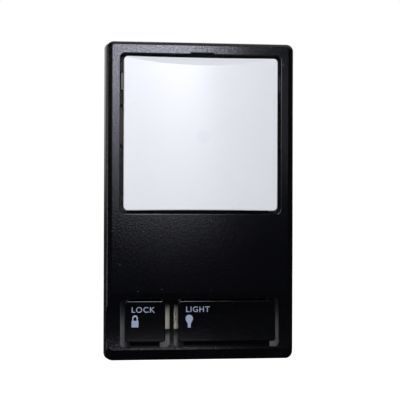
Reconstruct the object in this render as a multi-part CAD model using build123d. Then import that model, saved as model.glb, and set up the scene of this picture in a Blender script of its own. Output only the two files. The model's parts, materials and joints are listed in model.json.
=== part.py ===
from build123d import *
from math import acos, cos, radians, sin, sqrt
import os

# Wall control panel for a garage door: a black moulded housing with a large white push cover and two small
# buttons in a scooped bay, over a circuit board with three click switches, closed by a grey rear cover.
# X runs to the right, Z up, and the wall is the plane Y = 0. The front faces -Y, so the height of anything
# in front of the wall is -Y, and every height below is measured that way. All sizes are in millimetres.

# Housing: a drafted box with a bevel all round its front face
BASE_HALF_X = 36.7
BASE_HALF_Z = 62.7
RIM_HALF_X = 36.3
RIM_HALF_Z = 61.0
RIM_HEIGHT = 14.8
FACE_HEIGHT = 16.5
FACE_HALF_X = 34.05
FACE_TOP = 59.65
FACE_BOTTOM = -54.7
LOW_CORNER = 2.8
HIGH_CORNER = 2.7
FACE_CORNER = 0.6
FACE_ROUND = 0.35
RIM_ROUND = 1.8
SKIN = 2.0
REBATE_HALF_X = 34.5
REBATE_HALF_Z = 59.7
CAVITY_HALF_X = 33.4
CAVITY_HALF_Z = 58.6
CAVITY_CORNER = 1.6

# Window of the push cover, with its pocket and the deck that closes the pocket's floor
WINDOW_HALF_X = 31.05
WINDOW_LOW = -4.9
WINDOW_HIGH = 56.3
WINDOW_CORNER = 1.9
POCKET_WALL = 1.5
DECK = (8.0, 9.5)
PRY_NOTCH_X = (-4.05, 4.85)
PRY_NOTCH_DEPTH = 0.5
DECK_SLOT_X = (28.3, 31.05)
EAR_SLOT_Z = (21.0, 37.4)
ARM_SLOT_Z = (42.4, 50.2)

# Scooped bay of the two buttons, across the whole width: a tight arc above its deepest line, a wide one below
SCOOP_TOP = -35.8
SCOOP_DEEPEST_Z = -43.5
SCOOP_FLOOR = 14.9
SCOOP_LOW_RADIUS = 92.0
SCOOP_HIGH_RISE = FACE_HEIGHT - SCOOP_FLOOR
SCOOP_HIGH_RADIUS = ((SCOOP_TOP - SCOOP_DEEPEST_Z) ** 2 + SCOOP_HIGH_RISE ** 2) / (2 * SCOOP_HIGH_RISE)
BROW_ROUND = 3.0
BAY_Z = (-56.2, -37.6)
BAY_CORNER = 1.7

# Buttons: their left and right sides, and those of the openings that they stand in
LOCK_X = (-29.0, -13.45)
LIGHT_X = (-8.6, 29.35)
LOCK_BAY_X = (-30.75, -11.75)
LIGHT_BAY_X = (-10.15, 31.0)
BUTTON_Z = (-54.05, -38.3)
BUTTON_PROUD = 0.5
BUTTON_SKIN = 1.5
BUTTON_BACK = 9.5
BUTTON_CORNER = 1.2
LIP_INSET = 2.0
LIP_END = -57.3
LIP_HEIGHT = (12.1, 13.4)
PIVOT_HEIGHT = 11.2
PIVOT_Z = -36.2
PIN_RADIUS = 0.9
PIN_LENGTH = 1.2
PIN_CLEARANCE = 0.06
ARM_TOP = PIVOT_Z + 1.5

# Push cover: a cap that bulges across X, with a slanted facet along its top edge
COVER_HALF_X = 29.7
COVER_LOW = -3.75
COVER_HIGH = 55.2
COVER_BOW = 0.25
COVER_CORNER = 1.7
COVER_EDGE = 17.2
COVER_BULGE = 2.2
COVER_SKIN = 1.7
COVER_BACK = 11.0
COVER_RADIUS = (COVER_HALF_X ** 2 + COVER_BULGE ** 2) / (2 * COVER_BULGE)
FACET_START = 16.8
FACET_SLOPE = 0.75
HOOK_X = (28.0, 29.4)
HOOK_Z = (-3.5, 1.6)
HOOK_FOOT_Z = -4.9
HOOK_HEIGHT = (6.5, 7.7)
HOOK_PLAY = 0.6
SNAP_X = 12.0
SNAP_WIDTH = 5.0
SNAP_Z = (53.6, 54.8)
SNAP_FOOT_Z = 55.8
SNAP_TIP = 5.9

# Circuit board and the switches on it
BOARD = (5.4, 7.0)
BOARD_HALF_X = 27.0
BOARD_Z = (-50.0, 36.8)
EAR_HALF_X = 31.0
EAR_Z = (22.0, 36.8)
DOOR_SWITCH = (0.4, 24.5)
LOCK_SWITCH = (-21.5, -46.5)
LIGHT_SWITCH = (10.3, -46.5)
SWITCHES = {"door": (DOOR_SWITCH, 5.0), "lock": (LOCK_SWITCH, 4.3), "light": (LIGHT_SWITCH, 4.3)}
SWITCH_SIDE = 6.0
SWITCH_BODY = 3.1
SWITCH_FRAME = 0.35
PLUNGER_RADIUS = 1.7
PLUNGER_HOLE = 1.76
PLUNGER_FOOT = 1.0
PUSH_GAP = 0.1
LEG_PITCH = (6.5, 4.5)
WIRE = 0.3
WIRE_HOLE = 0.42
WIRE_END = 4.6

# Rear cover, and how the panel hangs on its wall
REAR = (0.0, 2.0)
REAR_HALF_X = 34.3
REAR_HALF_Z = 59.5
HANG_SPACING = 83.3
HANG_TOP = HANG_SPACING / 2
SCREW_HOLE = 2.2
KEYHOLE_ENTRY = 4.1
KEYHOLE_DROP = 6.0
TERMINAL_WINDOW_X = (-14.0, 14.0)
TERMINAL_WINDOW_Z = (-27.0, -8.5)
REAR_SCREWS = [(-24.0, 52.5), (24.0, 52.5), (-30.3, -31.0), (30.3, -31.0)]
BOARD_SCREWS = [(-22.5, -10.0), (22.5, -10.0), (0.0, -32.0)]
LABEL_X = (-21.0, 21.0)
LABEL_Z = (6.0, 33.0)
LABEL_THICK = 0.15
LABEL_POCKET = 0.2

# Wire terminals on the back of the board
TERMINALS = [(-7.0, -15.5), (7.0, -15.5)]
TERMINAL_SIDE = 8.4
TERMINAL_PLATE = (3.9, 5.4)
TERMINAL_WASHER = (3.15, 3.85)
TERMINAL_HEAD = (1.8, 3.1)
TERMINAL_TIP = 9.0
THREAD_RADIUS = 1.7
THREAD_CLEARANCE = 0.05

# Small parts on the front of the board, in the space below the push cover
LED = (-11.0, 24.5)
CAPACITOR = (-12.0, -23.5)
CAPACITOR_RADIUS = 3.15
CAPACITOR_LENGTH = 11.0
RESISTORS = [(9.5, -21.5), (9.5, -25.0), (9.5, -28.5), (9.5, -32.0)]
DIODE = (-12.0, -30.5)
CERAMICS = [(20.0, -19.0), (20.0, -26.0)]
TRANSISTOR = (-22.0, -19.0)


def plane(height):
    """The plane this high in front of the wall, with X across it and Z up it."""
    return Plane.XZ.offset(height)


def block(x, z, h, radius=0.0):
    """A block between two values of X, of Z and of height, with its four upright edges rounded."""
    width, depth = x[1] - x[0], z[1] - z[0]
    shape = RectangleRounded(width, depth, radius) if radius else Rectangle(width, depth)
    return extrude(plane(h[0]) * Pos((x[0] + x[1]) / 2, (z[0] + z[1]) / 2) * shape, h[1] - h[0])


def post(x, z, h, radius):
    """A round post that stands square to the wall."""
    return extrude(plane(h[0]) * Pos(x, z) * Circle(radius), h[1] - h[0])


def across(x, z, height, radius):
    """A round bar along X between two values of X."""
    middle = (x[0] + x[1]) / 2
    return Pos(middle, -height, z) * Rot(0, 90, 0) * Cylinder(radius, x[1] - x[0])


def outline(half_x, low, high, low_radius, high_radius):
    """A rectangle whose two lower and two upper corners have their own radii."""
    shape = Pos(0, (low + high) / 2) * Rectangle(2 * half_x, high - low)
    shape = fillet(shape.vertices().sort_by(Axis.Y)[:2], low_radius)
    return fillet(shape.vertices().sort_by(Axis.Y)[-2:], high_radius)


def grown(span, amount):
    """A span made longer at both ends."""
    return span[0] - amount, span[1] + amount


def scoop(proud):
    """The hollow in front of the button bay, from a surface that stands this far in front of the bay's own."""

    def on_arc(radius, turn):
        return -SCOOP_FLOOR - radius + (radius - proud) * cos(turn), SCOOP_DEEPEST_Z + (radius - proud) * sin(turn)

    brow_turn = acos((SCOOP_HIGH_RADIUS - SCOOP_HIGH_RISE) / (SCOOP_HIGH_RADIUS - proud))
    high = [on_arc(SCOOP_HIGH_RADIUS, turn) for turn in (brow_turn, brow_turn / 2, 0)]
    low = [on_arc(SCOOP_LOW_RADIUS, radians(angle)) for angle in (0, -9, -18)]
    far = -FACE_HEIGHT - 9
    above = SCOOP_TOP + 6
    ends = Polyline(low[-1], (far, low[-1][1]), (far, above), (-FACE_HEIGHT, above), high[0])
    profile = make_face([ThreePointArc(*high), ThreePointArc(*low), ends])
    brow = profile.vertices().sort_by_distance((*high[0], 0))[0]
    return extrude(Plane.YZ * fillet(brow, BROW_ROUND), 45, both=True)


def housing_body():
    """The drafted box, its front bevel and its scoop, as one solid block."""
    base = plane(0) * outline(BASE_HALF_X, -BASE_HALF_Z, BASE_HALF_Z, LOW_CORNER, HIGH_CORNER)
    rim = plane(RIM_HEIGHT) * outline(RIM_HALF_X, -RIM_HALF_Z, RIM_HALF_Z, LOW_CORNER, HIGH_CORNER)
    face = plane(FACE_HEIGHT) * outline(FACE_HALF_X, FACE_BOTTOM, FACE_TOP, FACE_CORNER, FACE_CORNER)
    body = loft([base, rim]) + loft([rim, face])
    body = fillet(level_edges(body, FACE_HEIGHT), FACE_ROUND)
    return fillet(level_edges(body, RIM_HEIGHT), RIM_ROUND) - scoop(0)


def level_edges(body, height):
    """The edges of a body that lie at one height in front of the wall."""

    def level(edge):
        box = edge.bounding_box()
        return abs(box.min.Y + height) < 0.01 and abs(box.max.Y + height) < 0.01

    return body.edges().filter_by(level)


def housing_cavity():
    """The inside of the housing, with the rebate that the rear cover sits in."""
    ceiling = FACE_HEIGHT - SKIN
    room = block((-CAVITY_HALF_X, CAVITY_HALF_X), (-CAVITY_HALF_Z, CAVITY_HALF_Z), (1.0, ceiling), CAVITY_CORNER)
    room -= scoop(-SKIN)
    rebate = block((-REBATE_HALF_X, REBATE_HALF_X), (-REBATE_HALF_Z, REBATE_HALF_Z), (-1.0, REAR[1]), CAVITY_CORNER)
    return room + rebate


def pocket():
    """The walls and the deck behind the push cover's window, before the window is cut."""
    x = (-WINDOW_HALF_X - POCKET_WALL, WINDOW_HALF_X + POCKET_WALL)
    return block(x, (WINDOW_LOW - POCKET_WALL, CAVITY_HALF_Z + 0.5), (DECK[0], FACE_HEIGHT - 1.0))


def window_cut():
    """The window itself, and the notch in its upper edge for a screwdriver's tip."""
    window_x = (-WINDOW_HALF_X, WINDOW_HALF_X)
    cut = block(window_x, (WINDOW_LOW, WINDOW_HIGH), (DECK[1], FACE_HEIGHT + 1), WINDOW_CORNER)
    notch_z = (WINDOW_HIGH - 1, WINDOW_HIGH + PRY_NOTCH_DEPTH)
    return cut + block(PRY_NOTCH_X, notch_z, (DECK[1] + 1.0, FACE_HEIGHT + 1))


def sides(span):
    """A span of X and its mirror image."""
    return [span, (-span[1], -span[0])]


def deck_cuts():
    """Holes in the deck: the door switch, the indicator, the board's ears, the arms, the hooks and the snaps."""
    door_x, door_z = DOOR_SWITCH
    half = SWITCH_SIDE / 2 + 1.0
    through = (DECK[0] - 1, DECK[1] + 1)
    cuts = block((door_x - half, door_x + half), (door_z - half, door_z + half), through, 0.8)
    cuts += post(*LED, through, 2.0)
    for x in sides(DECK_SLOT_X):
        cuts += block(x, EAR_SLOT_Z, through) + block(x, ARM_SLOT_Z, through)
    for x in sides(HOOK_X):
        cuts += block(grown(x, HOOK_PLAY), (HOOK_Z[0] - HOOK_PLAY, HOOK_Z[1] + HOOK_PLAY), through)
    for x in sides((SNAP_X - SNAP_WIDTH / 2, SNAP_X + SNAP_WIDTH / 2)):
        cuts += block(grown(x, HOOK_PLAY), (SNAP_Z[0] - 1.1, SNAP_Z[1] + 0.3), through)
    return cuts


def bosses():
    """The posts inside the housing that take the wall screw, the board's screws and the rear cover's."""
    made = post(0, HANG_TOP, (REAR[1], DECK[1] + 0.6), 4.3)
    for x, z in REAR_SCREWS:
        made += post(x, z, (REAR[1], DECK[1] if z > 0 else FACE_HEIGHT - 1), 2.6)
    for x, z in BOARD_SCREWS:
        made += post(x, z, (BOARD[1], FACE_HEIGHT - 1), 2.7)
    for x, z in ((-20, 4), (20, 4), (-20, 33), (20, 33)):
        made += post(x, z, (BOARD[1], DECK[1]), 1.8)
    return made


def screw_bores():
    """The wall screw's clear hole and the pilot holes of the small screws."""
    bores = post(0, HANG_TOP, (0, DECK[1] + 2), SCREW_HOLE)
    for x, z in REAR_SCREWS:
        bores += post(x, z, (0, 7.6 if z > 0 else 9.0), 1.15)
    for x, z in BOARD_SCREWS:
        bores += post(x, z, (0, 12.2), 1.15)
    return bores


def pivot_blocks():
    """The three blocks behind the bay's upper edge that hold the buttons' pivot pins."""
    gap = 0.3
    left, right = (LOCK_X[0] - 3.0, LOCK_X[0] - gap), (LIGHT_X[1] + gap, LIGHT_X[1] + 3.0)
    made = Part()
    for span in (left, (LOCK_X[1] + gap, LIGHT_X[0] - gap), right):
        made += block(span, (PIVOT_Z - 1.3, PIVOT_Z + 1.6), (PIVOT_HEIGHT - 2.0, FACE_HEIGHT - 1))
    return made - across((-40, 40), PIVOT_Z, PIVOT_HEIGHT, PIN_RADIUS + PIN_CLEARANCE)


def tongue_pockets(play):
    """Two tongues on the rear cover's lower edge, or the pockets in the housing that they enter."""
    made = Part()
    for side in (-1, 1):
        x = grown((side * 20 - 4, side * 20 + 4), play)
        made += block(x, (-REAR_HALF_Z - 1.1 - play, -REAR_HALF_Z + 1), (0.8 - play, REAR[1]))
    return made


def front_housing():
    """The black front shell, with everything that is moulded with it."""
    body = housing_body()
    hollow = body - housing_cavity()
    inside = (pocket() + bosses()) & body
    ears = pivot_blocks() & (body - scoop(-0.5))
    shell = hollow + inside + ears
    shell -= window_cut() + deck_cuts() + screw_bores() + tongue_pockets(0.15)
    for bay_x in (LOCK_BAY_X, LIGHT_BAY_X):
        shell -= block(bay_x, BAY_Z, (PIVOT_HEIGHT - 3, FACE_HEIGHT + 1), BAY_CORNER)
    return soften_face(shell)


def soften_face(shell):
    """Round the edge between the front face and the push cover's window, which the finger passes."""
    face = shell.faces().filter_by(Axis.Y).filter_by(lambda f: abs(f.center().Y + FACE_HEIGHT) < 0.01)
    edges = ShapeList([e for f in face for e in f.edges() if in_window_edge(e)])
    return fillet(edges, 0.3)


def in_window_edge(edge):
    """Whether an edge of the front face runs round the window rather than round the face."""
    centre = edge.center()
    return abs(centre.X) < WINDOW_HALF_X + 0.5 and WINDOW_LOW - 0.5 < centre.Z < WINDOW_HIGH + 1.2


def rear_cover():
    """The grey plate that closes the back, with its keyhole, terminal window, posts and ribs."""
    plate = block((-REAR_HALF_X, REAR_HALF_X), (-REAR_HALF_Z, REAR_HALF_Z), REAR, 1.5)
    plate += tongue_pockets(0.0)
    for side in (-1, 1):
        arm = sorted((side * 30.4, side * 29.0))
        plate += block(arm, (43.0, 49.6), (REAR[0], DECK[1] - 0.4))
    for x, z in ((-24, 20), (24, 20), (-24, -40), (24, -40)):
        plate += post(x, z, (REAR[0], BOARD[0]), 1.5)
    plate -= block(TERMINAL_WINDOW_X, TERMINAL_WINDOW_Z, (-1, REAR[1] + 1), 1.5)
    plate -= post(0, HANG_TOP, (-1, 3), SCREW_HOLE)
    entry_z = -HANG_TOP - KEYHOLE_DROP
    plate -= post(0, entry_z, (-1, 3), KEYHOLE_ENTRY)
    plate -= post(0, -HANG_TOP, (-1, 3), SCREW_HOLE)
    plate -= block((-SCREW_HOLE, SCREW_HOLE), (entry_z, -HANG_TOP), (-1, 3))
    plate -= block(LABEL_X, LABEL_Z, (-1, LABEL_POCKET), 1.2)
    for x, z in REAR_SCREWS:
        plate -= post(x, z, (-1, 1.2), 2.75)
        plate -= post(x, z, (-1, 3), 1.4)
    return plate


def cover_outline(inset):
    """The push cover's outline, whose upper and lower edges bow inwards a little."""
    x = COVER_HALF_X - inset
    low, high = COVER_LOW + inset, COVER_HIGH - inset
    top = ThreePointArc((-x, high), (0, high - COVER_BOW), (x, high))
    bottom = ThreePointArc((-x, low), (0, low + COVER_BOW), (x, low))
    shape = make_face([top, bottom, Line((-x, low), (-x, high)), Line((x, low), (x, high))])
    return fillet(shape.vertices(), max(COVER_CORNER - inset, 0.4))


def below_facet(inset):
    """The space behind the slanted facet along the push cover's upper edge, as a bar along X."""
    drop = inset * sqrt(1 + FACET_SLOPE ** 2)
    low_z, high_z = 35.0, COVER_HIGH + 4

    def height(z):
        return FACET_START - drop + FACET_SLOPE * (COVER_HIGH - z)

    corners = [(0, COVER_LOW - 9), (-height(low_z), COVER_LOW - 9), (-height(low_z), low_z),
               (-height(high_z), high_z), (0, high_z)]
    return extrude(Plane.YZ * make_face(Polyline(*corners, close=True)), 40, both=True)


def cover_block(inset, back):
    """The push cover as a full block, drawn in on every side by the inset."""
    block_up = extrude(plane(back) * cover_outline(inset), COVER_EDGE + COVER_BULGE + 1 - back)
    drum_y = COVER_RADIUS - COVER_EDGE - COVER_BULGE
    drum = Pos(0, drum_y, COVER_LOW) * Cylinder(COVER_RADIUS - inset, 160)
    return block_up & drum & below_facet(inset)


def push_cover():
    """The white cap, with its two lower hooks, its two snaps and the post that works the door switch."""
    cap = cover_block(0, COVER_BACK)
    front = cap.edges().filter_by(lambda e: -e.center().Y > FACET_START - 0.3)
    cap = fillet(front, 0.45)
    cap -= cover_block(COVER_SKIN, COVER_BACK - 1)
    for x in sides(HOOK_X):
        cap += block(x, HOOK_Z, (HOOK_HEIGHT[0], COVER_BACK + 0.5))
        cap += block(x, (HOOK_FOOT_Z, HOOK_Z[1]), HOOK_HEIGHT)
    for x in sides((SNAP_X - SNAP_WIDTH / 2, SNAP_X + SNAP_WIDTH / 2)):
        cap += block(x, SNAP_Z, (SNAP_TIP, COVER_BACK + 0.5))
        cap += block(x, (SNAP_Z[0], SNAP_FOOT_Z), HOOK_HEIGHT)
    tip = BOARD[1] + SWITCHES["door"][1] + PUSH_GAP
    cap += post(*DOOR_SWITCH, (tip, COVER_EDGE + 1.0), 2.5)
    for x in (-14.5, 14.5):
        cap += block((x - 0.5, x + 0.5), (COVER_LOW + 1, COVER_HIGH - 3.5), (COVER_EDGE - 2.2, COVER_EDGE + 0.3))
    return cap


def button_block(x, inset, back):
    """One button as a full block, drawn in by the inset, with its face hollow like the bay's."""
    z = grown(BUTTON_Z, -inset)
    full = block(grown(x, -inset), z, (back, FACE_HEIGHT), max(BUTTON_CORNER - inset, 0.3))
    return full - scoop(BUTTON_PROUD - inset)


def button(x, switch):
    """One rocking button: a shell with two pivot arms, a retaining lip and a post over its switch."""
    body = button_block(x, 0, BUTTON_BACK)
    rim = body.edges().filter_by(lambda e: -e.center().Y > FACE_HEIGHT - 3.2)
    body = fillet(rim, 0.35)
    body -= button_block(x, BUTTON_SKIN, BUTTON_BACK - 1)
    for wall in ((x[0], x[0] + BUTTON_SKIN), (x[1] - BUTTON_SKIN, x[1])):
        body += block(wall, (BUTTON_Z[1] - 2, ARM_TOP), (PIVOT_HEIGHT - 1.5, PIVOT_HEIGHT + 1.5), 0)
    body += across((x[0] - PIN_LENGTH, x[0] + 0.5), PIVOT_Z, PIVOT_HEIGHT, PIN_RADIUS)
    body += across((x[1] - 0.5, x[1] + PIN_LENGTH), PIVOT_Z, PIVOT_HEIGHT, PIN_RADIUS)
    body += block(grown(x, -LIP_INSET), (LIP_END, BUTTON_Z[0] + 1), LIP_HEIGHT)
    (switch_x, switch_z), tall = switch
    body += post(switch_x, switch_z, (BOARD[1] + tall + PUSH_GAP, SCOOP_FLOOR - 0.4), 1.4)
    return body


def board_outline():
    """The board, with an ear on each side that shows in the gap beside the push cover."""
    made = block((-BOARD_HALF_X, BOARD_HALF_X), BOARD_Z, BOARD, 1.0)
    return made + block((-EAR_HALF_X, EAR_HALF_X), EAR_Z, BOARD, 1.0)


def switch_leg_places(centre):
    """The four places where one switch's legs enter the board."""
    x, z = centre
    return [(x + a * LEG_PITCH[0] / 2, z + b * LEG_PITCH[1] / 2) for a in (-1, 1) for b in (-1, 1)]


def wire_places():
    """Where each part's wires enter the board, by the name of the part."""
    x, z = CAPACITOR
    places = {"capacitor": [(x + CAPACITOR_LENGTH / 2 + 2, z - 1.25), (x + CAPACITOR_LENGTH / 2 + 2, z + 1.25)]}
    places["led"] = [(LED[0] - 0.75, LED[1]), (LED[0] + 0.75, LED[1])]
    places["resistor"] = [(x + side * 5.0, z) for x, z in RESISTORS for side in (-1, 1)]
    places["diode"] = [(DIODE[0] + side * 3.8, DIODE[1]) for side in (-1, 1)]
    places["ceramic"] = [(x + side * 1.25, z) for x, z in CERAMICS for side in (-1, 1)]
    places["transistor"] = [(TRANSISTOR[0] + step * 1.27, TRANSISTOR[1]) for step in (-1, 0, 1)]
    places["switch"] = [p for centre, tall in SWITCHES.values() for p in switch_leg_places(centre)]
    return places


def circuit_board():
    """The board with its holes for screws, terminals and wires."""
    board = board_outline()
    for x, z in BOARD_SCREWS:
        board -= post(x, z, grown(BOARD, 1), 1.5)
    for x, z in TERMINALS:
        board -= post(x, z, grown(BOARD, 1), THREAD_RADIUS + 0.4)
        for side in (-1, 1):
            leg_x = grown((x + side * 3.3 - 0.5, x + side * 3.3 + 0.5), 0.1)
            board -= block(leg_x, (z - 0.6, z + 0.6), grown(BOARD, 1))
    for places in wire_places().values():
        for x, z in places:
            board -= post(x, z, grown(BOARD, 1), WIRE_HOLE)
    return board


def solder_joints():
    """One small cone of solder on the board's back round each wire and leg."""
    joints = Part()
    for places in wire_places().values():
        for x, z in places:
            foot = plane(BOARD[0]) * Pos(x, z) * Circle(0.95)
            tip = plane(BOARD[0] - 0.7) * Pos(x, z) * Circle(0.45)
            joints += loft([foot, tip]) - post(x, z, (WIRE_END - 1, BOARD[0] + 1), WIRE_HOLE)
    return joints


def switch_base(centre):
    """The moulded base of one click switch, with the well that its plunger moves in."""
    x, z = centre
    half = SWITCH_SIDE / 2
    top = BOARD[1] + SWITCH_BODY
    base = block((x - half, x + half), (z - half, z + half), (BOARD[1], top), 0.3)
    return base - post(x, z, (BOARD[1] + 0.8, top + 1), PLUNGER_RADIUS + 0.5)


def switch_frame(centre):
    """The pressed steel top of one click switch, which holds its plunger in."""
    x, z = centre
    half = SWITCH_SIDE / 2
    low = BOARD[1] + SWITCH_BODY
    frame = block((x - half, x + half), (z - half, z + half), (low, low + SWITCH_FRAME), 0.3)
    for side in (-1, 1):
        edge = sorted((x + side * half, x + side * (half + SWITCH_FRAME)))
        frame += block(edge, (z - 1.2, z + 1.2), (BOARD[1] + 1.2, low + SWITCH_FRAME))
    return frame - post(x, z, (low - 1, low + 1), PLUNGER_HOLE)


def switch_plunger(centre, tall):
    """The round plunger of one click switch, with the flange that keeps it under the steel top."""
    x, z = centre
    low = BOARD[1] + SWITCH_BODY
    plunger = post(x, z, (low - PLUNGER_FOOT, BOARD[1] + tall), PLUNGER_RADIUS)
    plunger = fillet(plunger.edges().sort_by(Axis.Y)[0], 0.25)
    return plunger + post(x, z, (low - PLUNGER_FOOT, low - 0.15), PLUNGER_RADIUS + 0.35)


def switch_legs():
    """The twelve flat legs of the three switches."""
    legs = Part()
    for centre, tall in SWITCHES.values():
        for x, z in switch_leg_places(centre):
            inner = centre[0] + (SWITCH_SIDE / 2 if x > centre[0] else -SWITCH_SIDE / 2)
            legs += block((x - 0.25, x + 0.25), (z - 0.3, z + 0.3), (WIRE_END, BOARD[1] + 1.1))
            legs += block(sorted((inner, x)), (z - 0.3, z + 0.3), (BOARD[1] + 0.8, BOARD[1] + 1.1))
    return legs


def wire(x, z, top):
    """One straight wire through the board."""
    return post(x, z, (WIRE_END, top), WIRE)


def bent_wire(start_x, x, z, height):
    """A wire that leaves the end of a body lying along X, and turns down through the board."""
    route = FilletPolyline((start_x, -height, z), (x, -height, z), (x, -WIRE_END, z), radius=0.7)
    section = Plane(origin=(start_x, -height, z), z_dir=(1 if x > start_x else -1, 0, 0)) * Circle(WIRE)
    return sweep(section, path=route)


def bent_wires(centre, half_body, places, height):
    """The wires from both ends of a body lying along X."""
    made = Part()
    for x, z in places:
        end = centre[0] + (half_body if x > centre[0] else -half_body)
        made += bent_wire(end, x, z, height)
    return made


def indicator_led():
    """The lens of the small indicator lamp: a round body with a domed end and a flange."""
    x, z = LED
    low = BOARD[1] + 0.4
    body = post(x, z, (low, low + 3.6), 1.5) + Pos(x, -low - 3.6, z) * Sphere(1.5)
    return body + post(x, z, (low, low + 1.0), 1.75)


def led_leads():
    """The indicator's two wires."""
    return Part() + [wire(x, z, BOARD[1] + 0.4) for x, z in wire_places()["led"]]


def storage_capacitor():
    """The can capacitor, which lies on the board and has a rolled groove near one end."""
    x, z = CAPACITOR
    height = BOARD[1] + 0.2 + CAPACITOR_RADIUS
    half = CAPACITOR_LENGTH / 2
    can = fillet(across((x - half, x + half), z, height, CAPACITOR_RADIUS).edges(), 0.5)
    groove = across((x + half - 2.4, x + half - 1.7), z, height, CAPACITOR_RADIUS + 1)
    return can - (groove - across((x - half, x + half), z, height, CAPACITOR_RADIUS - 0.3))


def capacitor_leads():
    """The can capacitor's two wires, bent down into the board."""
    height = BOARD[1] + 0.2 + CAPACITOR_RADIUS
    return bent_wires(CAPACITOR, CAPACITOR_LENGTH / 2, wire_places()["capacitor"], height)


def resistors():
    """The small resistors, each a bar with thicker ends."""
    height = BOARD[1] + 1.25
    made = Part()
    for x, z in RESISTORS:
        made += fillet(across((x - 3.1, x + 3.1), z, height, 0.95).edges(), 0.4)
        for side in (-1, 1):
            cap = across(sorted((x + side * 1.6, x + side * 3.2)), z, height, 1.15)
            made += fillet(cap.edges(), 0.35)
    return made


def resistor_leads():
    """The resistors' bent wires."""
    places = wire_places()["resistor"]
    made = Part()
    for count, centre in enumerate(RESISTORS):
        made += bent_wires(centre, 3.2, places[2 * count:2 * count + 2], BOARD[1] + 1.25)
    return made


def signal_diode():
    """The small diode, a round bar."""
    bar = across((DIODE[0] - 2.0, DIODE[0] + 2.0), DIODE[1], BOARD[1] + 1.15, 1.0)
    return fillet(bar.edges(), 0.4)


def diode_leads():
    """The diode's bent wires."""
    return bent_wires(DIODE, 2.0, wire_places()["diode"], BOARD[1] + 1.15)


def ceramic_capacitors():
    """The two disc capacitors, which stand on edge and are fatter in the middle."""
    made = Part()
    for x, z in CERAMICS:
        disc = Rot(90, 0, 0) * Cylinder(2.4, 1.4)
        disc = Rot(90, 0, 0) * fillet(disc.edges(), 0.6)
        made += Pos(x, -BOARD[1] - 3.4, z) * disc
    return made


def ceramic_leads():
    """The disc capacitors' wires."""
    return Part() + [wire(x, z, BOARD[1] + 1.2) for x, z in wire_places()["ceramic"]]


def transistor():
    """The small transistor, a round body with one flat side."""
    x, z = TRANSISTOR
    body = post(x, z, (BOARD[1] + 1.2, BOARD[1] + 5.6), 2.3)
    return body - block((x - 3, x + 3), (z - 3, z - 1.3), (BOARD[1], BOARD[1] + 7))


def transistor_leads():
    """The transistor's three wires."""
    return Part() + [wire(x, z, BOARD[1] + 1.2) for x, z in wire_places()["transistor"]]


def terminal_plates():
    """The two brass plates on the board's back that the wire screws thread into."""
    half = TERMINAL_SIDE / 2
    made = Part()
    for x, z in TERMINALS:
        plate = block((x - half, x + half), (z - half, z + half), TERMINAL_PLATE, 0.6)
        for side in (-1, 1):
            plate += block((x + side * 3.3 - 0.5, x + side * 3.3 + 0.5), (z - 0.5, z + 0.5), (5.0, BOARD[1] + 0.5))
        made += plate - post(x, z, grown(TERMINAL_PLATE, 1), THREAD_RADIUS + THREAD_CLEARANCE)
    return made


def terminal_washer(centre):
    """The square washer that a wire screw carries, with rounded corners."""
    x, z = centre
    washer = block((x - 3.6, x + 3.6), (z - 3.6, z + 3.6), TERMINAL_WASHER, 0.9)
    return washer - post(x, z, grown(TERMINAL_WASHER, 1), THREAD_RADIUS + 0.15)


def terminal_screw(centre):
    """One wire screw, with a slotted head that faces the wall."""
    x, z = centre
    head = post(x, z, TERMINAL_HEAD, 3.2)
    head = fillet(head.edges().sort_by(Axis.Y)[-1], 0.4)
    head -= block((x - 4, x + 4), (z - 0.45, z + 0.45), (TERMINAL_HEAD[0] - 1, TERMINAL_HEAD[0] + 0.7))
    return head + post(x, z, (TERMINAL_HEAD[1], TERMINAL_TIP), THREAD_RADIUS)


def small_screw(x, z, head, tip, head_radius):
    """A self-cutting screw whose cross-recessed head faces the wall."""
    made = post(x, z, head, head_radius)
    made = fillet(made.edges().sort_by(Axis.Y)[-1], 0.4)
    for along in ((1.5, 0.25), (0.25, 1.5)):
        made -= block((x - along[0], x + along[0]), (z - along[1], z + along[1]), (head[0] - 1, head[0] + 0.7))
    return made + post(x, z, (head[1], tip), 1.1)


def board_screws():
    """The screws that hold the board to the housing."""
    return Part() + [small_screw(x, z, (3.8, BOARD[0]), 11.8, 2.3) for x, z in BOARD_SCREWS]


def rear_cover_screws():
    """The screws that hold the rear cover to the housing."""
    return Part() + [small_screw(x, z, (0.1, 1.2), 7.4 if z > 0 else 8.5, 2.4) for x, z in REAR_SCREWS]


def rear_label():
    """The blank label in its shallow pocket on the back."""
    return block(grown(LABEL_X, -0.2), grown(LABEL_Z, -0.2), (LABEL_POCKET - LABEL_THICK, LABEL_POCKET), 1.0)


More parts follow.
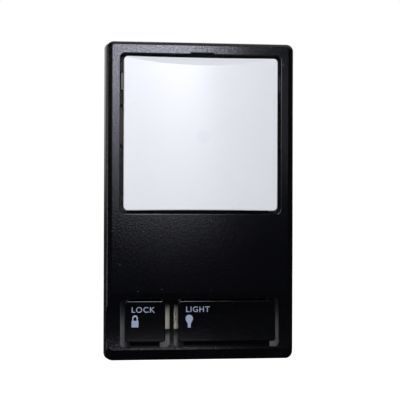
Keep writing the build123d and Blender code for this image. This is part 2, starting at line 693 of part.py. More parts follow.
def pieces():
    """Every node by its name."""
    made = {
        "front_housing": front_housing(),
        "rear_cover": rear_cover(),
        "push_cover": push_cover(),
        "lock_button": button(LOCK_X, SWITCHES["lock"]),
        "light_button": button(LIGHT_X, SWITCHES["light"]),
        "circuit_board": circuit_board(),
        "solder_joints": solder_joints(),
        "switch_legs": switch_legs(),
        "indicator_led": indicator_led(),
        "led_leads": led_leads(),
        "storage_capacitor": storage_capacitor(),
        "capacitor_leads": capacitor_leads(),
        "resistors": resistors(),
        "resistor_leads": resistor_leads(),
        "signal_diode": signal_diode(),
        "diode_leads": diode_leads(),
        "ceramic_capacitors": ceramic_capacitors(),
        "ceramic_leads": ceramic_leads(),
        "transistor": transistor(),
        "transistor_leads": transistor_leads(),
        "terminal_plates": terminal_plates(),
        "board_screws": board_screws(),
        "rear_cover_screws": rear_cover_screws(),
        "rear_label": rear_label(),
    }
    for name, (centre, tall) in SWITCHES.items():
        made[f"{name}_switch_base"] = switch_base(centre)
        made[f"{name}_switch_frame"] = switch_frame(centre)
        made[f"{name}_switch_plunger"] = switch_plunger(centre, tall)
    for count, centre in enumerate(TERMINALS, 1):
        made[f"terminal_washer_{count}"] = terminal_washer(centre)
        made[f"terminal_screw_{count}"] = terminal_screw(centre)
    return made


os.makedirs("parts", exist_ok=True)
for node, shape in pieces().items():
    export_step(shape, f"parts/{node}.step")
    print(node, round(shape.volume, 1))
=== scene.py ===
# %% [markdown]
# # A garage door wall control panel, in cells
#
# The object is a black moulded housing with a big white push cover and two small rocking buttons in a
# scooped bay. Its real shape comes from the packed model, where each plastic or metal piece is a node of
# its own. This script gives every node its finish, adds what is too thin for the drawing, such as printed
# marks, and lights and frames the panel as the photograph does.

# %% The packed model as a fixed frame
import bmesh
import bpy
import json
import numpy as np
from math import pi, radians
from mathutils import Matrix, Vector


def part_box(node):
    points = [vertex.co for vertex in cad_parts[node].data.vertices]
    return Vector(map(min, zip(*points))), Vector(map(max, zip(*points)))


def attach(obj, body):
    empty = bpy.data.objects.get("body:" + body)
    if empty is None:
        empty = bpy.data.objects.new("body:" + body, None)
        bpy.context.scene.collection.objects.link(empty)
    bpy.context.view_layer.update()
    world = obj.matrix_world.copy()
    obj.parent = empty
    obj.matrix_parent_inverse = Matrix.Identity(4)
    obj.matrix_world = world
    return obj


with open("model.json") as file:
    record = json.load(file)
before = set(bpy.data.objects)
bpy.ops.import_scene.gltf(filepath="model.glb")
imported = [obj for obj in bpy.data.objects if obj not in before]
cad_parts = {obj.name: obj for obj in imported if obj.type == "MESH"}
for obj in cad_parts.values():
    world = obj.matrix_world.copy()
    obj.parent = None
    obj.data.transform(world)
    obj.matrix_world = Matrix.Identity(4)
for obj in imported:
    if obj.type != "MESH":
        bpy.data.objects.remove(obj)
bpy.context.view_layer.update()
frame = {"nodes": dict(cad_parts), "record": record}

# %% [markdown]
# ## Sizes
#
# The drawing is in millimetres and Blender is in metres. X runs to the right and Z up, and the wall is the
# plane Y = 0, so the height of a point in front of the wall is -Y. The button bay is hollowed across its
# whole width: a tight arc above its deepest line, a wide one below. The buttons' faces follow both arcs a
# little proud of them.

# %% Sizes in millimetres
MM = 0.001
BAY_DEEPEST_Z = -43.5
BAY_FLOOR = 14.9
BAY_HIGH_RADIUS = 19.33
BAY_LOW_RADIUS = 92.0
BUTTON_PROUD = 0.5
BOARD_FRONT = 7.0
BOARD_BACK = 5.4
POST = (0.4, 24.5)


def place(x, z, height):
    """Turn sizes in millimetres into points in metres: across, up, and height in front of the wall."""
    x, z, height = np.broadcast_arrays(x, z, height)
    return np.stack([x, -height, z], axis=-1) * MM


# %% [markdown]
# ## Shader sums
#
# A finish is a small program of nodes. Wiring it by hand hides the sums, so one class wraps a node's output
# and turns +, -, * and / into Math nodes. Everything else, such as a noise or a ramp, comes from one method
# that sets the node's settings first and then its sockets.

# %% Signals
class Signal:
    """A node's output that can be used in sums. Each operator adds one Math node."""

    def __init__(self, finish, socket):
        self.finish = finish
        self.socket = socket

    def math(self, operation, *values):
        """One Math node on this finish, with values or signals in its sockets."""
        return self.finish.node("ShaderNodeMath", {"operation": operation}, dict(enumerate(values)))

    def __add__(self, other):
        return self.math("ADD", self, other)

    def __sub__(self, other):
        return self.math("SUBTRACT", self, other)

    def __rsub__(self, other):
        return self.math("SUBTRACT", other, self)

    def __mul__(self, other):
        return self.math("MULTIPLY", self, other)

    def __truediv__(self, other):
        return self.math("DIVIDE", self, other)

    __radd__ = __add__
    __rmul__ = __mul__

    def above(self, edge, soft):
        """0 below the edge and 1 above it, with a soft step of the given width."""
        settings = {"interpolation_type": "SMOOTHSTEP"}
        sockets = {"Value": self, "From Min": edge - soft / 2, "From Max": edge + soft / 2}
        return self.finish.node("ShaderNodeMapRange", settings, sockets)

    def below(self, edge, soft):
        """1 below the edge and 0 above it."""
        return 1 - self.above(edge, soft)

    def between(self, low, high, soft):
        """1 between two values and 0 outside them."""
        return self.above(low, soft) * self.below(high, soft)


print("beside its operators, a signal has:", ", ".join(name for name in vars(Signal) if name[0] != "_"))

# %% [markdown]
# A finish holds one material, and each method adds what a real surface has: cloudy tones, cells, specks of
# dust, and bumps with a depth in millimetres. Patterns are measured in millimetres from the Object
# coordinates, so they keep their real size on every node and move with it.

# %% Finishes
class Finish:
    """A material round one Principled shader, whose nodes are added by method calls."""

    def __init__(self, name, colour, roughness, **constants):
        self.material = bpy.data.materials.new(name)
        self.material.use_nodes = True
        self.tree = self.material.node_tree
        self.shader = self.tree.nodes["Principled BSDF"]
        self.feed(self.shader.inputs["Base Color"], colour)
        self.feed(self.shader.inputs["Roughness"], roughness)
        self.paint(**constants)

    @classmethod
    def on_tree(cls, tree):
        """A finish without a shader of its own, for the node tree of a lamp or of the world."""
        made = cls.__new__(cls)
        made.tree = tree
        return made

    def feed(self, socket, value):
        """Put a number, a colour, a vector or a signal into a socket."""
        if isinstance(value, Signal):
            self.tree.links.new(value.socket, socket)
        elif hasattr(value, "__len__") and len(value) == 3 and len(socket.default_value) == 4:
            socket.default_value = (*value, 1.0)
        else:
            socket.default_value = value

    def node(self, kind, settings, sockets, output=0):
        """Add one node: its settings first, then its sockets, and give one of its outputs."""
        made = self.tree.nodes.new(kind)
        for name, value in settings.items():
            if name == "stops":
                self.set_stops(made.color_ramp, value)
            elif name == "steps":
                made.color_ramp.interpolation = value
            else:
                setattr(made, name, value)
        for name, value in sockets.items():
            self.feed(made.inputs[name], value)
        return Signal(self, made.outputs[output])

    def set_stops(self, ramp, stops):
        """Give a colour ramp its stops, each a place and a colour."""
        while len(ramp.elements) < len(stops):
            ramp.elements.new(1.0)
        for element, (where, colour) in zip(ramp.elements, stops):
            element.position = where
            element.color = (*colour, 1.0)

    def at(self, centre=(0, 0, 0), scale=(1, 1, 1)):
        """Object coordinates in millimetres from a centre given as (x, y, z), stretched by a scale."""
        coordinates = self.node("ShaderNodeTexCoord", {}, {}, "Object")
        scale = [s / MM for s in scale]
        location = [-c * s for c, s in zip(centre, [s * MM for s in scale])]
        sockets = {"Vector": coordinates, "Location": location, "Scale": scale}
        return self.node("ShaderNodeMapping", {"vector_type": "POINT"}, sockets)

    def axes(self, vector):
        """The three parts of a vector."""
        split = self.node("ShaderNodeSeparateXYZ", {}, {"Vector": vector})
        return [Signal(self, output) for output in split.socket.node.outputs]

    def noise(self, size, detail=2.0, rough=0.5, vector=None):
        """Cloudy noise from 0 to 1 whose features are about this many millimetres across."""
        sockets = {"Vector": vector or self.at(), "Scale": 1 / size, "Detail": detail, "Roughness": rough}
        return self.node("ShaderNodeTexNoise", {}, sockets)

    def cells(self, size, feature="F1", output="Distance", vector=None):
        """Cells about this many millimetres across."""
        sockets = {"Vector": vector or self.at(), "Scale": 1 / size}
        return self.node("ShaderNodeTexVoronoi", {"feature": feature}, sockets, output)

    def specks(self, size, share):
        """Small round specks: a share of the cells, from 0 to 1, holds a dot at its centre."""
        near = self.cells(size)
        lot = self.axes(self.cells(size, output="Color"))[0]
        return near.below(0.22, 0.16) * lot.below(share, 0.01)

    def mix(self, amount, a, b):
        """One colour mixed into another by a mask."""
        sockets = {0: amount, 6: self.colour(a), 7: self.colour(b)}
        return self.node("ShaderNodeMix", {"data_type": "RGBA"}, sockets, 2)

    def colour(self, value):
        """A colour with its fourth number, or a signal as it is."""
        return value if isinstance(value, Signal) else (*value, 1.0)

    def bump(self, *layers):
        """Raise the surface by layers, each a height signal from 0 to 1 and its real depth in millimetres."""
        normal = None
        for height, depth in layers:
            sockets = {"Height": height, "Distance": depth * MM, "Strength": 1.0}
            if normal:
                sockets["Normal"] = normal
            normal = self.node("ShaderNodeBump", {}, sockets)
        self.feed(self.shader.inputs["Normal"], normal)

    def paint(self, **sockets):
        """Feed signals to the shader's own sockets."""
        for socket, value in sockets.items():
            self.feed(self.shader.inputs[socket.replace("_", " ")], value)


print("a finish has:", ", ".join(name for name in vars(Finish) if name[0] != "_"))

# %% [markdown]
# Each finish below is a function under a decorator that names its material slot. The decorator runs the
# function at once and keeps what it made, so a cell shows its own finish and nothing has to be listed twice.

# %% One finish for each slot
finishes = {}


def finish(slot):
    """Keep a function's finish under the name of its material slot."""

    def keep(make):
        finishes[slot] = make()
        print("finish:", slot, "with", len(finishes[slot].tree.nodes), "nodes")
        return make

    return keep


# %% [markdown]
# ## Black housing plastic
#
# The housing is black moulded plastic with a fine leather grain: pebbles about half a millimetre across
# that break up a reflection. A flat black would look like a hole. The grain could be geometry, but at this
# size two bump layers do it: rounded cells for the pebbles and noise for the skin on them. Handling leaves
# it a little shinier in patches, so the roughness drifts, and dust sits in the grain as sparse pale specks.
# The housing's hidden inner walls are rougher, as its tool was left unpolished there.
#
# The tops of the grain mirror more than its hollows. A pattern on the specular level would be lost in the
# exported model, so that level stays at what the tops mirror, and a mask on Metallic dims the hollows: a
# metal as black as this plastic mirrors next to nothing head on, and about as much as plastic at a slant.

# %% Housing finish
INNER_HALF_X = 33.8
INNER_HALF_Z = 58.9
INNER_HEIGHT = 12.5
DUST_SHARE = 0.012
TOPS_MIRROR = 0.95


@finish("black_abs")
def black_abs():
    """Leather-grained black plastic."""
    made = Finish("housing_plastic", (0.006, 0.0065, 0.009), 0.3, IOR=1.52, Specular_IOR_Level=TOPS_MIRROR)
    pebbles = made.cells(0.62, "SMOOTH_F1")
    skin = made.noise(0.3, 3.0, 0.6)
    worn = made.noise(9.0, 3.0, 0.6)
    dust = made.specks(1.0, DUST_SHARE)
    hollows = (1.36 - made.noise(0.55, 2.0, 0.6) * 1.74) * (1 - dust)
    tone = made.mix(made.noise(14.0), (0.0019, 0.0023, 0.0042), (0.0034, 0.0038, 0.0065))
    x, y, z = made.axes(made.at())
    inside = x.between(-INNER_HALF_X, INNER_HALF_X, 0.1) * z.between(-INNER_HALF_Z, INNER_HALF_Z, 0.1)
    inside = inside * y.above(-INNER_HEIGHT, 1.0)
    made.paint(Base_Color=made.mix(dust * 0.3, tone, (0.06, 0.06, 0.065)))
    made.paint(Roughness=0.11 + worn * 0.04 + pebbles * 0.02 + dust * 0.2 + inside * 0.4)
    made.paint(Metallic=hollows)
    made.bump((pebbles, 0.022), (skin, 0.013))
    return made


# %% [markdown]
# ## Button plastic
#
# The two buttons are the same black, but their tool was polished more: the surface is smooth, with only a
# faint unevenness and hairline marks where fingers and nails pass.

# %% Button finish
@finish("black_button")
def black_button():
    """Smooth black plastic with hairline scratches."""
    made = Finish("button_plastic", (0.005, 0.0053, 0.007), 0.3, IOR=1.52)
    hairs = made.noise(0.5, 4.0, 0.7, made.at(scale=(0.12, 1.0, 1.0)))
    skin = made.noise(0.3, 3.0, 0.6)
    worn = made.noise(6.0, 2.0)
    tone = made.mix(worn, (0.0008, 0.0010, 0.0018), (0.0014, 0.0016, 0.0028))
    made.paint(Base_Color=made.mix(made.specks(0.9, DUST_SHARE) * 0.3, tone, (0.05, 0.05, 0.055)))
    made.paint(Roughness=0.13 + worn * 0.04 + hairs.above(0.62, 0.06) * 0.08)
    made.bump((skin, 0.003), (hairs, 0.002))
    return made


# %% [markdown]
# ## White push cover
#
# The cover is smooth white plastic that lets a little light through. Its colour is a cool white, and its
# middle carries a faint bluish round patch of painted shade, for the post that works the switch seen through
# the plastic. A few dust specks keep it from looking computed. The light that enters the plastic is given
# by a little subsurface scattering.

# %% Cover finish
@finish("white_cover")
def white_cover():
    """Smooth, slightly translucent white plastic."""
    made = Finish("cover_plastic", (0.7, 0.73, 0.78), 0.3, IOR=1.5, Subsurface_Weight=0.2)
    made.paint(Subsurface_Radius=(1.0, 1.0, 1.1), Subsurface_Scale=0.8 * MM)
    x, y, z = made.axes(made.at((POST[0], 0, POST[1])))
    ring = (x * x + z * z).math("SQRT", x * x + z * z)
    # A faint bluish round patch of painted shade, where the switch's post shows through the cover.
    post_shade_disc = ring.below(2.6, 1.2) * 0.5 + made.noise(3.0) * 0.08
    cloud = made.noise(18.0, 2.0)
    tone = made.mix(cloud, (0.820, 0.830, 0.835), (0.845, 0.855, 0.855))
    tone = made.mix(post_shade_disc * 0.16, tone, (0.42, 0.50, 0.68))
    dust = made.specks(1.6, DUST_SHARE)
    made.paint(Base_Color=made.mix(dust * 0.25, tone, (0.42, 0.42, 0.44)))
    made.paint(Roughness=0.23 + cloud * 0.04 + dust * 0.2)
    made.bump((made.noise(7.0, 2.0), 0.012), (made.noise(0.5), 0.0015))
    return made


# %% [markdown]
# ## Rear cover, board and label
#
# The rear cover is plain grey plastic with a spark-eroded, matt surface. The board is a beige sheet of
# paper and resin: its front is bare, with fibres in it. Its back wears a green lacquer over wide copper
# areas, and thin dark gaps part them. Both sides are one node, so the height in front of the wall says
# which side a point is on. Above the two buttons' switches a dark band painted on the front stands for the
# shade of the blocks that carry their pivots, and the board's two ear tabs are painted dark brown as painted
# shade, for the shade that falls on them deep in the gap beside the push cover.

# %% Grey plastic, board and label finishes
SHADED_BAND = (-41.2, -34.0)
SHADED_EARS_FROM_X = 27.3
COPPER_FIELD = 4.5


@finish("grey_cover")
def grey_cover():
    """Matt grey plastic."""
    made = Finish("rear_plastic", (0.40, 0.40, 0.385), 0.55)
    grit = made.noise(0.22, 3.0, 0.7)
    cloud = made.noise(20.0, 3.0)
    tone = made.mix(cloud, (0.375, 0.375, 0.360), (0.425, 0.425, 0.410))
    made.paint(Base_Color=made.mix(made.specks(2.6, 0.08) * 0.5, tone, (0.16, 0.15, 0.14)))
    made.paint(Roughness=0.50 + grit * 0.12)
    made.bump((grit, 0.008))
    return made


@finish("board")
def board():
    """Paper and resin sheet, bare in front and lacquered green behind."""
    made = Finish("board_sheet", (0.50, 0.43, 0.32), 0.5)
    fibres = made.noise(0.7, 4.0, 0.7, made.at(scale=(0.35, 1.0, 1.0)))
    x, y, z = made.axes(made.at())
    back = y.above(-BOARD_BACK - 0.1, 0.05)
    front_tone = made.mix(fibres, (0.84, 0.77, 0.60), (0.92, 0.85, 0.68))
    shaded = z.between(*SHADED_BAND, 2.4)
    front_tone = made.mix(shaded, front_tone, (0.03, 0.028, 0.025))
    # The ear tabs' dark brown is painted shade, for the shade deep in the gap beside the push cover.
    shaded_ears = x.math("ABSOLUTE", x).above(SHADED_EARS_FROM_X, 0.2)
    front_tone = made.mix(shaded_ears, front_tone, (0.17, 0.13, 0.10))
    back_tone = made.mix(fibres, (0.045, 0.150, 0.060), (0.065, 0.195, 0.080))
    gaps = made.cells(COPPER_FIELD, "DISTANCE_TO_EDGE").below(0.07, 0.02)
    back_tone = made.mix(gaps, back_tone, (0.016, 0.060, 0.025))
    made.paint(Base_Color=made.mix(back, front_tone, back_tone))
    made.paint(Roughness=0.55 - back * 0.28 + fibres * 0.06)
    made.bump((fibres, 0.006))
    return made


@finish("label")
def label():
    """Blank matt label with a faint weave of paper."""
    made = Finish("label_paper", (0.74, 0.74, 0.71), 0.6)
    fibres = made.noise(0.35, 4.0, 0.7)
    made.paint(Base_Color=made.mix(fibres, (0.70, 0.70, 0.67), (0.78, 0.78, 0.75)))
    made.paint(Roughness=0.52 + fibres * 0.15)
    made.bump((fibres, 0.004))
    return made


# %% [markdown]
# ## Metals
#
# The metals differ in colour and in how they were worked. Screws and pressed steel carry fine lines and
# dull spots, solder is bright and lumpy, and brass has a warmer, slightly tarnished tone. One function
# makes them all from a colour, a roughness and the size of their unevenness.

# %% Metal finishes
def metal(name, bright, dull, roughness, lump):
    """A metal whose tone and roughness drift between bright and tarnished places."""
    made = Finish(name, bright, roughness, Metallic=1.0)
    stain = made.noise(1.2, 4.0, 0.65)
    lines = made.noise(0.25, 3.0, 0.6, made.at(scale=(0.15, 1.0, 1.0)))
    made.paint(Base_Color=made.mix(stain, bright, dull))
    made.paint(Roughness=roughness + stain * 0.14 + lines * 0.08)
    made.bump((lines, lump))
    return made


METALS = {
    "solder": ("solder", (0.78, 0.78, 0.76), (0.60, 0.60, 0.59), 0.14, 0.010),
    "tinned_wire": ("tinned_copper", (0.76, 0.75, 0.72), (0.58, 0.56, 0.53), 0.22, 0.003),
    "switch_steel": ("pressed_steel", (0.62, 0.62, 0.60), (0.47, 0.47, 0.46), 0.28, 0.004),
    "brass": ("plain_brass", (0.78, 0.57, 0.26), (0.55, 0.38, 0.17), 0.24, 0.004),
    "zinc_steel": ("zinc_plate", (0.66, 0.67, 0.68), (0.50, 0.49, 0.46), 0.26, 0.004),
}
for metal_slot, recipe in METALS.items():
    finishes[metal_slot] = metal(*recipe)
print("metals:", ", ".join(METALS))

# %% [markdown]
# ## Small electrical parts
#
# Each small part is recognised by its marks: the can capacitor by its dark sleeve, pale stripe and bare
# end, the resistors by their bands, the diode by the ring at one end. The marks follow the part's own
# place, so they are painted from Object coordinates measured from its centre, and nothing needs an
# unwrapped map.

# %% Finishes of the small electrical parts
def centre_of(node):
    """The middle of a node's box in millimetres, as (x, y, z)."""
    low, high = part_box(node)
    return tuple((low + high) / 2 / MM)


def moulded(name, low, high, roughness, size=0.3, depth=0.004):
    """A plain moulded plastic whose tone drifts a little, with a fine grit."""
    made = Finish(name, low, roughness)
    grit = made.noise(size, 3.0, 0.6)
    made.paint(Base_Color=made.mix(made.noise(2.5, 3.0), low, high))
    made.paint(Roughness=roughness + grit * 0.1)
    made.bump((grit, depth))
    return made


@finish("capacitor_sleeve")
def capacitor_sleeve():
    """A shrunk dark sleeve with a pale stripe, open at the can's bare aluminium ends."""
    made = moulded("can_sleeve", (0.006, 0.010, 0.030), (0.010, 0.016, 0.042), 0.2)
    x, y, z = made.axes(made.at(centre_of("storage_capacitor")))
    reach = (y * y + z * z).math("SQRT", y * y + z * z)
    low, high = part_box("storage_capacitor")
    end = (high.x - low.x) / 2 / MM
    bare = reach.below(2.5, 0.1) * x.math("ABSOLUTE", x).above(end - 0.12, 0.05)
    stripe = z.between(0.9, 2.3, 0.1) * y.below(0, 0.1)
    tone = made.mix(stripe, (0.008, 0.013, 0.036), (0.36, 0.38, 0.42))
    made.paint(Base_Color=made.mix(bare, tone, (0.80, 0.80, 0.81)))
    made.paint(Metallic=bare)
    return made


BEIGE = (0.50, 0.40, 0.26)
BANDS = [(0.0, BEIGE), (0.14, (0.16, 0.07, 0.03)), (0.24, BEIGE), (0.36, (0.02, 0.02, 0.02)), (0.45, BEIGE),
         (0.55, (0.55, 0.05, 0.03)), (0.64, BEIGE), (0.78, (0.48, 0.34, 0.10)), (0.88, BEIGE)]


@finish("resistor_body")
def resistor_body():
    """Beige lacquer with four colour bands round the body."""
    made = moulded("resistor_lacquer", BEIGE, (0.56, 0.45, 0.30), 0.32)
    low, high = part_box("resistors")
    x, y, z = made.axes(made.at((low.x / MM, 0, 0)))
    along = x / ((high.x - low.x) / MM)
    ramp = made.node("ShaderNodeValToRGB", {"steps": "CONSTANT", "stops": BANDS}, {"Fac": along})
    made.paint(Base_Color=ramp)
    return made


@finish("diode_glass")
def diode_glass():
    """Orange glass with a black ring at one end."""
    made = moulded("diode_glass", (0.40, 0.11, 0.03), (0.52, 0.17, 0.05), 0.08)
    x, y, z = made.axes(made.at(centre_of("signal_diode")))
    made.paint(Base_Color=made.mix(x.between(0.8, 1.4, 0.05), (0.45, 0.13, 0.04), (0.010, 0.010, 0.010)))
    return made


@finish("led_lens")
def led_lens():
    """Tinted clear resin."""
    made = Finish("lamp_resin", (0.85, 0.62, 0.20), 0.12, Transmission_Weight=0.55, IOR=1.53)
    haze = made.noise(0.8, 2.0)
    made.paint(Base_Color=made.mix(haze, (0.88, 0.66, 0.22), (0.80, 0.54, 0.15)))
    made.paint(Roughness=0.08 + haze * 0.1)
    return made


finishes["switch_black"] = moulded("switch_moulding", (0.012, 0.012, 0.013), (0.020, 0.020, 0.021), 0.42)
finishes["plunger"] = moulded("plunger_moulding", (0.022, 0.020, 0.019), (0.032, 0.030, 0.028), 0.34)
finishes["ceramic"] = moulded("dipped_ceramic", (0.50, 0.21, 0.05), (0.62, 0.29, 0.08), 0.3, 0.6, 0.02)
print("all finishes:", len(finishes))

# %% [markdown]
# ## Finishes onto nodes
#
# The packed record says which slot each node belongs to. The finish of that slot goes into the first
# material place of the node's object, and the mesh itself is left alone.

# %% Dress the nodes
for part in frame["record"]["subparts"]:
    node = frame["nodes"][part["node"]]
    material = finishes[part["material_slot"]].material
    if node.data.materials:
        node.data.materials[0] = material
    else:
        node.data.materials.append(material)

# %% [markdown]
# ## Printed marks
#
# The two words and two pictures on the buttons are pad-printed in pale ink, a film that follows the hollow
# faces, and a short dark pen mark is left on the board. All are made as thin plates: an outline is filled
# and given a thickness, then cut into narrow strips up the face, which let the plate bend smoothly.

# %% Thin plates from outlines
INK_DEPTH = 0.02
INK_PROUD = 0.045
STRIP = 0.25


def plate_from(curve):
    """Fill a flat curve or text, thicken it, weld it, and give back its bmesh. The source is removed."""
    holder = bpy.data.objects.new("outline", curve)
    bpy.context.scene.collection.objects.link(holder)
    bpy.context.view_layer.update()
    mesh = bpy.data.meshes.new_from_object(holder.evaluated_get(bpy.context.evaluated_depsgraph_get()))
    bpy.data.objects.remove(holder)
    plate = bmesh.new()
    plate.from_mesh(mesh)
    bpy.data.meshes.remove(mesh)
    bmesh.ops.remove_doubles(plate, verts=plate.verts, dist=1e-4)
    return plate


def cut_in_strips(plate, low, high):
    """Cut a plate across at even steps of its second axis, so that it can bend."""
    for level in np.arange(low + STRIP, high, STRIP):
        geometry = plate.verts[:] + plate.edges[:] + plate.faces[:]
        bmesh.ops.bisect_plane(plate, geom=geometry, plane_co=(0, level, 0), plane_no=(0, 1, 0))


def outline_curve(loops):
    """A filled flat curve from closed loops of points, where a loop inside another is a hole."""
    curve = bpy.data.curves.new("outline", "CURVE")
    curve.dimensions = "2D"
    curve.fill_mode = "BOTH"
    curve.extrude = INK_DEPTH
    for loop in loops:
        spline = curve.splines.new("POLY")
        spline.points.add(len(loop) - 1)
        flat = np.column_stack([loop, np.zeros(len(loop)), np.ones(len(loop))])
        spline.points.foreach_set("co", flat.ravel())
        spline.use_cyclic_u = True
    return curve


def word_curve(word):
    """A bold word as text, a flat curve with thickness."""
    curve = bpy.data.curves.new("word", "FONT")
    curve.body = word
    curve.extrude = INK_DEPTH
    curve.offset = 0.008
    curve.space_character = 1.16
    curve.resolution_u = 6
    return curve


print("ink:", INK_DEPTH, "mm thick in strips of", STRIP, "mm")

# %% [markdown]
# Each point of a plate is then moved onto its face by that face's own formula. The buttons' faces follow
# the two arcs of the bay, and the board is flat. A print rides on the body that it is printed on, so it
# moves with its button.

# %% Prints laid on their faces
def button_height(z):
    """Hollow face's height: its arc's axis height, less the root of radius squared minus reach squared."""
    radius = np.where(z > BAY_DEEPEST_Z, BAY_HIGH_RADIUS, BAY_LOW_RADIUS)
    return BAY_FLOOR + radius - np.sqrt((radius - BUTTON_PROUD) ** 2 - (z - BAY_DEEPEST_Z) ** 2)


def board_height(z):
    """Height of the board's front, the same for every Z."""
    return BOARD_FRONT + 0 * z


def print_mark(name, curve, x_span, z_span, body):
    """Fit a flat curve's box to two spans of X and Z, and add its thickness to the face's height there."""
    ink, height = PRINTS[body]
    plate = plate_from(curve)
    points = np.array([v.co for v in plate.verts])
    low, high = points.min(axis=0), points.max(axis=0)
    spans = np.array([x_span, z_span])
    flat = spans[:, 0] + (points[:, :2] - low[:2]) / (high[:2] - low[:2]) * (spans[:, 1] - spans[:, 0])
    lift = (points[:, 2] - low[2]) / (high[2] - low[2])
    for vertex, (x, z), up in zip(plate.verts, flat, lift):
        vertex.co = (x, z, up)
    cut_in_strips(plate, *z_span)
    bmesh.ops.triangulate(plate, faces=plate.faces)
    mesh = bpy.data.meshes.new(name)
    plate.to_mesh(mesh)
    plate.free()
    bent = np.empty(len(mesh.vertices) * 3)
    mesh.vertices.foreach_get("co", bent)
    x, z, up = bent.reshape(-1, 3).T
    mesh.vertices.foreach_set("co", place(x, z, height(z) + INK_PROUD * up).ravel())
    return finish_piece(name, mesh, ink.material, body)


def finish_piece(name, mesh, material, body):
    """Make an object of a mesh: outward faces, its material, and the body it rides on."""
    solid = bmesh.new()
    solid.from_mesh(mesh)
    bmesh.ops.recalc_face_normals(solid, faces=solid.faces)
    solid.to_mesh(mesh)
    solid.free()
    mesh.materials.append(material)
    made = bpy.data.objects.new(name, mesh)
    bpy.context.scene.collection.objects.link(made)
    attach(made, body)
    print("piece:", name, "with", len(mesh.polygons), "faces")
    return made


pale_ink = moulded("pale_ink", (0.285, 0.345, 0.45), (0.335, 0.395, 0.50), 0.45, 0.2, 0.002)
dark_ink = moulded("dark_ink", (0.020, 0.019, 0.018), (0.030, 0.028, 0.026), 0.5, 0.2, 0.002)
PRINTS = {
    "lock_button": (pale_ink, button_height),
    "light_button": (pale_ink, button_height),
    "housing": (dark_ink, board_height),
}

# %% [markdown]
# The padlock is a rounded body under an arched bow, and the lamp is a round bulb that narrows into its cap.
# Both are plain pictures drawn from circles and a smooth step, with no source but their own formulas. The
# board's pen mark is two slanted strokes. Each row of the table says where a mark lies, in millimetres.

# %% Pictures and words
def arc(centre, radius, start, end, count=24):
    """Points along a circle between two angles in degrees."""
    angles = np.radians(np.linspace(start, end, count))
    return np.column_stack([centre[0] + radius * np.cos(angles), centre[1] + radius * np.sin(angles)])


def padlock():
    """The padlock's loops: a body with rounded corners joined to an outer arch, and the bow's gap."""
    half, tall, corner = 1.55, 2.72, 0.20
    outer, shoulder = 1.28, 3.80
    inner, bow_foot = 0.72, 3.62
    rim = np.vstack([
        arc((-half + corner, corner), corner, 180, 270, 6),
        arc((half - corner, corner), corner, 270, 360, 6),
        arc((half - corner, tall - corner), corner, 0, 90, 6),
        [(outer, tall)],
        arc((0, shoulder), outer, 0, 180),
        [(-outer, tall)],
        arc((-half + corner, tall - corner), corner, 90, 180, 6),
    ])
    gap = np.vstack([arc((0, bow_foot), inner, 0, 180), [(-inner, tall), (inner, tall)]])
    return [rim, gap]


def lamp():
    """The lamp's loop: a circle above, a smooth step down to the cap's half width below."""
    round_, cap, foot, tall = 1.62, 0.66, 1.25, 5.35
    centre = tall - round_
    up = np.linspace(foot, centre, 16)
    step = (up - foot) / (centre - foot)
    flank = np.column_stack([cap + (round_ - cap) * step * step * (3 - 2 * step), up])
    right = np.vstack([[(cap, 0)], flank[:-1], arc((0, centre), round_, 0, 90)])
    left = right[::-1] * (-1, 1)
    return [np.vstack([right, left[1:]])]


def check_mark():
    """The board legend's loops: two slanted strokes, as a tester's pen leaves them."""
    long_stroke = [(0.0, 0.0), (0.22, 0.0), (1.0, 2.4), (0.78, 2.4)]
    short_stroke = [(0.55, 2.9), (0.8, 2.9), (0.95, 4.6), (0.7, 4.6)]
    return [long_stroke, short_stroke]


MARKS = [
    ("lock_word", word_curve("LOCK"), (-26.35, -17.50), (-42.80, -40.60), "lock_button"),
    ("lock_picture", outline_curve(padlock()), (-26.38, -23.75), (-48.35, -43.73), "lock_button"),
    ("light_word", word_curve("LIGHT"), (-5.45, 3.61), (-42.68, -40.50), "light_button"),
    ("light_picture", outline_curve(lamp()), (-5.67, -2.82), (-48.60, -43.70), "light_button"),
    ("board_legend", outline_curve(check_mark()), (-9.55, -8.55), (-48.2, -43.2), "housing"),
]
for mark in MARKS:
    print_mark(*mark)

# %% [markdown]
# ## Camera
#
# The photograph looks at the panel from about 5 cm left of its middle and about 41 cm away, turned a little
# to the right. These values were fitted to thirteen straight edges of the photograph, to a seventh of a
# pixel.

# %% Camera
CAMERA_PLACE = (-0.0469, -0.4138, -0.0020)
CAMERA_TURN = {"yaw": -6.68, "pitch": 0.34, "roll": -0.19}
IMAGE_WIDTH = 400
FOCAL_PIXELS = 1042.4
SENSOR = 36.0

camera = bpy.data.objects.new("camera", bpy.data.cameras.new("camera"))
bpy.context.scene.collection.objects.link(camera)
camera.data.sensor_width = SENSOR
camera.data.lens = FOCAL_PIXELS / IMAGE_WIDTH * SENSOR
camera.data.clip_start = 0.01
camera.data.clip_end = 20.0
yaw, pitch, roll = (Matrix.Rotation(radians(CAMERA_TURN[name]), 4, axis)
                    for name, axis in (("yaw", "Z"), ("pitch", "X"), ("roll", "Y")))
camera.matrix_world = Matrix.Translation(CAMERA_PLACE) @ yaw @ pitch @ roll @ Matrix.Rotation(pi / 2, 4, "X")
bpy.context.scene.camera = camera
print("lens:", round(camera.data.lens, 1), "mm")

# %% [markdown]
# ## Light
#
# The photograph's fades tell where its light is. The flat face mirrors a sheet of light about 33 cm in
# front of it, up and to the left, which is brightest near its right edge and dims downwards. One lamp with
# those fades does it: its brightness is an exponential of the place on it, and two faint sheets fill in
# what the face mirrors at its right border and below the cover. A side lamp from the left shades the
# cover's bulge, a small lamp above the camera reaches the board through the gaps, and one beside the panel
# draws the thin line of light along its rounded left edge. The last one, behind, keeps the back readable. A
# lamp's power here comes from the brightness of its surface: radiance times area times pi.

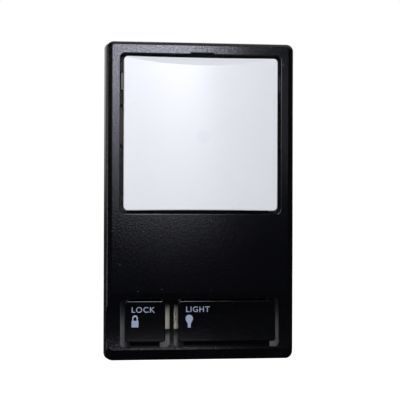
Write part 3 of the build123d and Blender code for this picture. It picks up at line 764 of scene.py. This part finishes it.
# %% Lamps
def soft_lamp(name, where, width, height, radiance, aim=(0, 0, 0), tint=(1.0, 1.0, 1.0)):
    """A rectangular lamp at a place in metres that faces the point it is aimed at."""
    data = bpy.data.lights.new(name, "AREA")
    data.shape = "RECTANGLE"
    data.size, data.size_y = width, height
    data.energy = radiance * width * height * pi
    data.color = tint
    lamp_object = bpy.data.objects.new(name, data)
    bpy.context.scene.collection.objects.link(lamp_object)
    lamp_object.location = where
    lamp_object.rotation_mode = "QUATERNION"
    lamp_object.rotation_quaternion = (Vector(where) - Vector(aim)).to_track_quat("Z", "Y")
    print("lamp:", name, "power", round(data.energy, 2), "W at full brightness")
    return data


def fade_lamp(data, side_fade, low_fade, full_height):
    """Dim a lamp by e for each side fade left of its right edge and each low fade below the full height."""
    data.use_nodes = True
    sheet = Finish.on_tree(data.node_tree)
    across_lamp, up_lamp, rest = sheet.axes(sheet.node("ShaderNodeNewGeometry", {}, {}, "Parametric"))
    left_of_edge = (1 - across_lamp) * (data.size / side_fade)
    drop = full_height / low_fade - up_lamp * (data.size_y / low_fade)
    dimming = left_of_edge + drop.math("MAXIMUM", drop, 0.0)
    sheet.feed(data.node_tree.nodes["Emission"].inputs["Strength"], dimming.math("EXPONENT", 0 - dimming))


KEY_X = (-0.480, 0.047)
KEY_Z = (-0.007, 0.213)
SHEET_Y = -0.35
KEY_TINT = (0.96, 0.975, 1.12)


def sheet_lamp(name, x, z, width, height, radiance, y=SHEET_Y, tint=(1.0, 1.0, 1.0)):
    """A lamp that hangs square in front of the panel and faces straight back."""
    return soft_lamp(name, (x, y, z), width, height, radiance, aim=(x, 0, z), tint=tint)


key = sheet_lamp("key_light", sum(KEY_X) / 2, sum(KEY_Z) / 2, KEY_X[1] - KEY_X[0], KEY_Z[1] - KEY_Z[0], 11.3,
                 tint=KEY_TINT)
fade_lamp(key, side_fade=0.123, low_fade=0.0407, full_height=0.098)
sheet_lamp("right_sheen", 0.125, 0.062, 0.075, 0.085, 0.34)
sheet_lamp("middle_sheen", 0.015, 0.015, 0.050, 0.085, 0.32, y=SHEET_Y - 0.002)
soft_lamp("side_light", (-0.56, -0.42, 0.22), 0.35, 0.35, 1.8)
soft_lamp("front_light", (-0.02, -0.42, 0.24), 0.12, 0.12, 12.0)
soft_lamp("edge_light", (-0.60, 0.055, 0.055), 0.30, 0.37, 1.05)
soft_lamp("back_light", (-0.4, 1.1, 0.9), 0.9, 0.9, 2.5)

# %% [markdown]
# ## Surroundings
#
# The camera sees plain white behind the panel. What the plastic reflects is the room instead: dim in front,
# where the photographer stands, and bright behind, where the white backdrop is. The world's direction gives
# that, and the kind of ray picks which one is used.

# %% World
WORLD_FILL = 0.15
ROOM_FRONT = 0.02
ROOM_BACK = 0.4

world = bpy.data.worlds.new("white_surround")
bpy.context.scene.world = world
world.use_nodes = True
sky = Finish.on_tree(world.node_tree)
ray = sky.node("ShaderNodeLightPath", {}, {}, "Is Camera Ray")
rays = ray.socket.node.outputs
glossy = Signal(sky, rays["Is Glossy Ray"])
through = Signal(sky, rays["Is Transmission Ray"])
direction = sky.node("ShaderNodeTexCoord", {}, {}, "Generated")
across, deep, up = sky.axes(direction)
behind = deep.above(0.15, 0.5) * up.above(0.06, 0.18)
mirrored = ROOM_FRONT + behind * (ROOM_BACK - ROOM_FRONT)
seen = ray.math("MAXIMUM", ray, through)
strength = seen + (1 - seen) * (glossy * mirrored + (1 - glossy) * WORLD_FILL)
background = world.node_tree.nodes["Background"]
background.inputs["Color"].default_value = (1, 1, 1, 1)
sky.feed(background.inputs["Strength"], strength)
print("world nodes:", len(sky.tree.nodes))

# %% [markdown]
# ## Floor
#
# The floor is a pale sheet well below the panel. To the camera it adds its own white, so it has no edge
# against the backdrop, while its diffuse part still darkens where the panel's shadow falls.

# %% Floor
FLOOR_Z = -0.30
FLOOR_HALF = 4.0
corners = np.array([(-1, -1), (1, -1), (1, 1), (-1, 1)]) * FLOOR_HALF
floor_mesh = bpy.data.meshes.new("floor")
floor_mesh.from_pydata(np.column_stack([corners, np.full(4, FLOOR_Z)]).tolist(), [], [(0, 1, 2, 3)])
floor = bpy.data.objects.new("floor", floor_mesh)
bpy.context.scene.collection.objects.link(floor)
pale = Finish("pale_floor", (0.8, 0.8, 0.8), 0.9)
floor_ray = pale.node("ShaderNodeLightPath", {}, {}, "Is Camera Ray")
mirror_ray = Signal(pale, floor_ray.socket.node.outputs["Is Glossy Ray"])
white = pale.node("ShaderNodeEmission", {}, {"Color": (1, 1, 1, 1), "Strength": floor_ray * 0.95})
both = pale.node("ShaderNodeAddShader", {}, {0: Signal(pale, pale.shader.outputs[0]), 1: white})
dim = pale.node("ShaderNodeEmission", {}, {"Strength": ROOM_FRONT})
seen_floor = pale.node("ShaderNodeMixShader", {}, {0: mirror_ray, 1: both, 2: dim})
pale.feed(pale.tree.nodes["Material Output"].inputs["Surface"], seen_floor)
floor_mesh.materials.append(pale.material)
bpy.context.scene.view_settings.view_transform = "Standard"
print("floor at", FLOOR_Z, "m")

# %% [markdown]
